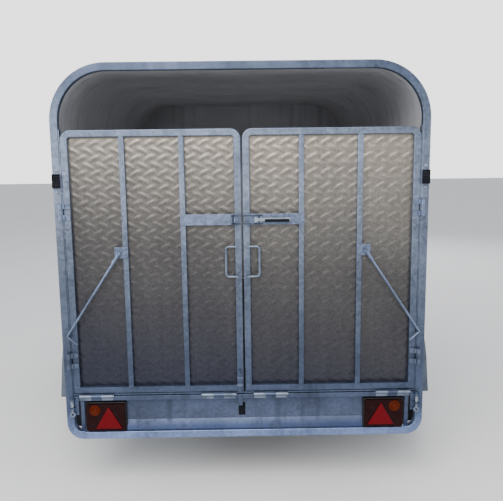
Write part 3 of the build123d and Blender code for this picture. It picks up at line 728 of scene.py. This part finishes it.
# %% [markdown]
# ## Rear lamps
#
# Each lamp is a black box with a lens that fills its front. The large part is dark red. A triangular
# reflector stands proud of it, and the round flasher sits in the top outer corner with moulded rings.

# %% Lamp lenses
softened(("lamp_lenses_red",), 0.0018)

amber_low, amber_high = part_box("lamp_lenses_amber")
signal_r = (amber_high.z - amber_low.z) / 2
lens_depth = amber_high.y - amber_low.y
rings = [(0, signal_r)]
for n in range(5):
    out = signal_r - 0.002 - n * 0.0048
    rings += [(lens_depth - 0.0022, out + 0.0016), (lens_depth, out), (lens_depth, out - 0.0014),
              (lens_depth - 0.0018, out - 0.0028)]
rings += [(lens_depth - 0.001, 0.003), (lens_depth - 0.0005, 0)]
bm = bmesh.new()
for s in (-1, 1):
    at = Vector((s * (amber_high.x - signal_r), amber_high.y, (amber_low.z + amber_high.z) / 2))
    turned(bm, rings, at, (0, -1, 0), 40, closed=False)
settle(bm, "flasher_lenses", "lamp_lenses_amber", sharp=50, replaces=("lamp_lenses_amber",))

# %% [markdown]
# ## Corner springs
#
# A coil spring under each corner bolt snaps it back. Its wire is a small circle, spun about the bolt
# while it climbs a little at each step.

# %% Springs
spring_low, spring_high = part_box("bolt_springs")
coils, per_coil, wire = 7, 20, 0.0011
for side, s in (("left", -1), ("right", 1)):
    bolt_low, bolt_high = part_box(side + "_spring_bolt")
    post = Vector(((bolt_low.x + bolt_high.x) / 2, (spring_low.y + spring_high.y) / 2, spring_low.z))
    reach = (spring_high.y - spring_low.y) / 2 - wire
    bm = bmesh.new()
    start = Matrix.Translation(post + Vector((reach, 0, wire))) @ Matrix.Rotation(pi / 2, 4, "X")
    ring = bmesh.ops.create_circle(bm, segments=8, radius=wire, cap_ends=False, matrix=start)["verts"]
    edges = list({e for v in ring for e in v.link_edges})
    climb = (spring_high.z - spring_low.z - 2 * wire) / (coils * per_coil)
    bmesh.ops.spin(bm, geom=ring + edges, cent=post, axis=(0, 0, 1), dvec=(0, 0, climb),
                   angle=2 * pi * coils, steps=coils * per_coil, use_merge=False)
    bmesh.ops.holes_fill(bm, edges=[e for e in bm.edges if e.is_boundary], sides=0)
    bmesh.ops.recalc_face_normals(bm, faces=bm.faces)
    coil = settle(bm, side + "_corner_spring", "bolt_springs", sharp=60, replaces=("bolt_springs",))
    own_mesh(coil)
print("two springs of", coils, "coils")

# %% [markdown]
# ## Fixings
#
# Hexagon heads with washers hold the rubber buffers and the stay brackets; the latch plates are
# welded. A head is a six-sided drum with its outer edge bevelled, and the washer is a thin disc.

# %% Bolts
def hexagon(bm, at, across=0.013, height=0.005, washer=0.010):
    """A bolt head and washer that face backwards."""
    flat = Matrix.Rotation(pi / 2, 4, "X")
    thin = 0.0014
    for sides, radius, depth, lift in ((24, washer, thin, thin / 2),
                                       (6, across / 2, height, thin + height / 2)):
        place = Matrix.Translation(Vector(at) - Vector((0, lift, 0))) @ flat
        drum = bmesh.ops.create_cone(bm, cap_ends=True, segments=sides, radius1=radius, radius2=radius,
                                     depth=depth, matrix=place)["verts"]
        front = min(v.co.y for v in drum)
        rim = [e for e in {e for v in drum for e in v.link_edges}
               if all(v.co.y < front + 1e-5 for v in e.verts)]
        bmesh.ops.bevel(bm, geom=rim, offset=min(0.0012, depth / 3), affect="EDGES", segments=1,
                        profile=0.5, material=-1)


bm = bmesh.new()
screws_low, screws_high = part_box("post_screws")
for s in (-1, 1):
    for z in (screws_low.z + 0.008, screws_high.z - 0.008):
        hexagon(bm, (s * (screws_high.x - 0.008), rear, z), 0.015, 0.0045, 0.0085)
settle(bm, "buffer_bolts", "post_screws", sharp=30, replaces=("post_screws",))

bracket_z = 1.310
for side, s in (("left", -1), ("right", 1)):
    bm = bmesh.new()
    for x in (0.595, 0.647):
        for z in (bracket_z - 0.020, bracket_z + 0.020):
            hexagon(bm, (s * x, rear - 0.003, z), 0.009, 0.0035, 0.0065)
    settle(bm, side + "_leaf_bolts", side + "_leaf_fittings", plate_zinc, 30)
print("bolts on posts and stay brackets")

# %% [markdown]
# ## Latch details
#
# The toggle lever ends in a dark sleeve, set low on its front. It is painted shade: a black piece where the
# underside of the lever lies in shadow. A thick eye stands where the loop is pinned to it.
# The sleeve is a drum of sixteen sides with both rims bevelled.

# %% Latch shade sleeve and eyes
lever_low, lever_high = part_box("latch_lever")
loop_low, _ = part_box("latch_loop")
lever_y, lever_z = (lever_low.y + lever_high.y) / 2, (lever_low.z + lever_high.z) / 2
bm = bmesh.new()
# A black sleeve on the lower front of the lever: painted shade under the lever.
shade_sleeve_length, shade_sleeve_r = 0.125, 0.0072
shade_sleeve_at = (lever_high.x - 0.066, lever_low.y + 0.0025, lever_z - 0.005)
lying = Matrix.Translation(shade_sleeve_at) @ Matrix.Rotation(pi / 2, 4, "Y")
bmesh.ops.create_cone(bm, cap_ends=True, segments=16, radius1=shade_sleeve_r, radius2=shade_sleeve_r,
                      depth=shade_sleeve_length, matrix=lying)
rims = [e for e in bm.edges if len({round(v.co.x, 4) for v in e.verts}) == 1]
bmesh.ops.bevel(bm, geom=rims, offset=0.002, affect="EDGES", segments=3, profile=0.5, material=-1)
settle(bm, "latch_shade_sleeve", "latch_lever", finishes["black_rubber"], 50)

eye = [(-0.0032, 0.0042), (-0.0032, 0.0075), (-0.0015, 0.0092), (0.0015, 0.0092), (0.0032, 0.0075),
       (0.0032, 0.0042)]
pivot_x, rod_z = 0.095, 0.0205
bm = bmesh.new()
for z in (lever_z - rod_z, lever_z + rod_z):
    turned(bm, eye, (pivot_x, lever_y, z), (0, 0, 1), 24)
    turned(bm, eye, (loop_low.x + 0.0035, lever_y, z), (0, 0, 1), 24)
settle(bm, "latch_eyes", "latch_loop", dark_steel, 40)
print("latch shade sleeve", shade_sleeve_length, "m long")

# %% [markdown]
# ## Dark sheet behind the slot
#
# A black sheet in the black rubber finish hangs behind the slot in the middle of the sill panel. It is
# painted shade: a dark piece where the space behind the slot lies in shadow, so that the slot looks dark.
# It is a thin block, a little larger than the slot all round, with its edges bevelled.

# %% Dark sheet behind the slot
_, panel_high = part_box("sill_panel")
bm = bmesh.new()
slot_x, slot_z, slot_wide, slot_tall, margin = -0.016, 0.447, 0.036, 0.072, 0.006
# A dark sheet, painted shade behind the slot.
shade_sheet_thick, clear = 0.003, 0.0005
behind = Matrix.Translation((slot_x, panel_high.y + clear + shade_sheet_thick / 2, slot_z))
shade_sheet_size = Matrix.Diagonal((slot_wide + 2 * margin, shade_sheet_thick, slot_tall + 2 * margin, 1))
bmesh.ops.create_cube(bm, size=1, matrix=behind @ shade_sheet_size)
bmesh.ops.bevel(bm, geom=bm.edges[:], offset=0.0008, affect="EDGES", segments=2, profile=0.5,
                material=-1)
settle(bm, "slot_shade_sheet", "buffers_and_flaps", finishes["black_rubber"])
print("shade sheet hangs", round(panel_high.y + clear - rear, 4), "m inside the rear face of the posts")

# %% [markdown]
# ## Weld runs
#
# Every tube joint is closed by a run of weld, which looks like a row of overlapping ripples. Here a
# small ring is extruded along the joint, and each step is a little fatter or thinner than the last.

# %% Weld runs
random.seed(7)


def weld_run(bm, start, end, radius):
    """A rippled bead of weld between two points."""
    start, end = Vector(start), Vector(end)
    run = end - start
    steps = max(3, round(run.length / 0.0045))
    place = Matrix.Translation(start) @ run.to_track_quat("Z", "Y").to_matrix().to_4x4()
    ring = bmesh.ops.create_circle(bm, segments=8, radius=radius * 0.5, cap_ends=True,
                                   matrix=place)["verts"]
    edges = list({e for v in ring for e in v.link_edges})
    size = 0.5
    for n in range(steps):
        grown = bmesh.ops.extrude_edge_only(bm, edges=edges)["geom"]
        verts = [g for g in grown if isinstance(g, bmesh.types.BMVert)]
        edges = [g for g in grown
                 if isinstance(g, bmesh.types.BMEdge) and all(v in verts for v in g.verts)]
        bmesh.ops.translate(bm, vec=run / steps, verts=verts)
        wanted = 0.5 if n == steps - 1 else (1.0 if n % 2 else 0.78) * random.uniform(0.9, 1.1)
        middle = sum((v.co for v in verts), Vector()) / len(verts)
        bmesh.ops.scale(bm, vec=(wanted / size,) * 3, space=Matrix.Translation(-middle), verts=verts)
        size = wanted
    bmesh.ops.contextual_create(bm, geom=edges)


bead = 0.0032
bars = [(0.289, 0.315), (0.587, 0.613)]
stiles = [(0.006, 0.037), (leaf_high.x - 0.033, leaf_high.x - 0.002)]
weld_y = leaf_low.y + 0.0005
for side, s in (("left", -1), ("right", 1)):
    bm = bmesh.new()
    for z, members in ((rail_top, stiles + bars), (leaf_high.z - 0.035, bars)):
        for x0, x1 in members:
            weld_run(bm, (s * x0, weld_y, z), (s * x1, weld_y, z), bead)
    for z in (1.178, 1.334):
        weld_run(bm, (s * 0.0215, rear - 0.0005, z + 0.007), (s * 0.0215, rear - 0.0005, z - 0.007), 0.002)
    settle(bm, side + "_leaf_welds", side + "_leaf_frame", sharp=80)

bm = bmesh.new()
_, beam_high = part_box("sill_beam")
for s in (-1, 1):
    edge = rear_high.x - 0.040
    weld_run(bm, (s * edge, rear + 0.0005, 0.512), (s * edge, rear + 0.0005, beam_high.z - 0.003), bead)
    weld_run(bm, (s * 0.855, rear + 0.001, 0.342), (s * 0.873, rear + 0.001, 0.342), bead * 1.3)
bmesh.ops.recalc_face_normals(bm, faces=bm.faces)
settle(bm, "frame_welds", "rear_posts", sharp=80)
print("weld runs laid")

# %% [markdown]
# ## Side walls
#
# The outer walls are thin sheet with long pressed swages that keep them flat. A grid is laid over each
# wall, rows of points are pushed inwards in shallow troughs, and the sheet gets its thickness last.

# %% Side walls
walls_low, walls_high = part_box("side_panels")
skin = walls_high.x
swage_step, swage_reach, swage_depth, plain_rim = 0.135, 0.022, 0.006, 0.03
vent_low_z, vent_high_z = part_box("vent_bars")[0].z - 0.048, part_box("vent_bars")[1].z + 0.048
bm = bmesh.new()
length = walls_high.y - walls_low.y
for s in (-1, 1):
    for low_z, high_z in ((walls_low.z, vent_low_z), (vent_high_z, walls_high.z)):
        tall = high_z - low_z
        rows = round(tall / 0.009)
        sheet = bmesh.ops.create_grid(bm, x_segments=8, y_segments=rows, size=0.5)["verts"]
        bmesh.ops.scale(bm, vec=(length, tall, 1), verts=sheet)
        upright = Matrix.Rotation(pi / 2, 3, "Z") @ Matrix.Rotation(pi / 2, 3, "X")
        bmesh.ops.rotate(bm, cent=(0, 0, 0), matrix=upright, verts=sheet)
        centre = (s * skin, (walls_low.y + walls_high.y) / 2, (low_z + high_z) / 2)
        bmesh.ops.translate(bm, vec=centre, verts=sheet)
        for point in sheet:
            along = (point.co.z - low_z) % swage_step
            near_rim = min(point.co.z - low_z, high_z - point.co.z) < plain_rim
            trough = 0 if near_rim else max(0, 1 - abs(along - swage_step / 2) / swage_reach)
            point.co.x -= s * swage_depth * trough
bmesh.ops.recalc_face_normals(bm, faces=bm.faces)
for face in bm.faces:
    if face.normal.x * face.calc_center_median().x < 0:
        face.normal_flip()
bmesh.ops.solidify(bm, geom=bm.faces, thickness=0.002)
settle(bm, "pressed_walls", "side_panels", sharp=30, replaces=("side_panels",))
print("side walls pressed, overall", round(2 * skin, 3), "m wide")

# %% [markdown]
# ## Floor of the studio
#
# The trailer stands on a plain pale floor that isn't part of it. A little noise in its colour and
# sheen keeps it from looking like paper.

# %% Floor
ground = Finish("studio_floor")
cloud = ground.noise(1.5, 4)
pale = ground.mix(cloud, (0.56, 0.565, 0.57), (0.62, 0.62, 0.62))
ground.use(Base_Color=pale, Roughness=0.75 + 0.1 * cloud)
bm = bmesh.new()
bmesh.ops.create_grid(bm, x_segments=2, y_segments=2, size=30)
floor_mesh = bpy.data.meshes.new("studio_floor")
bm.to_mesh(floor_mesh)
bm.free()
floor_mesh.materials.append(ground.material)
standing = bpy.data.objects.new("studio_floor", floor_mesh)
bpy.context.scene.collection.objects.link(standing)
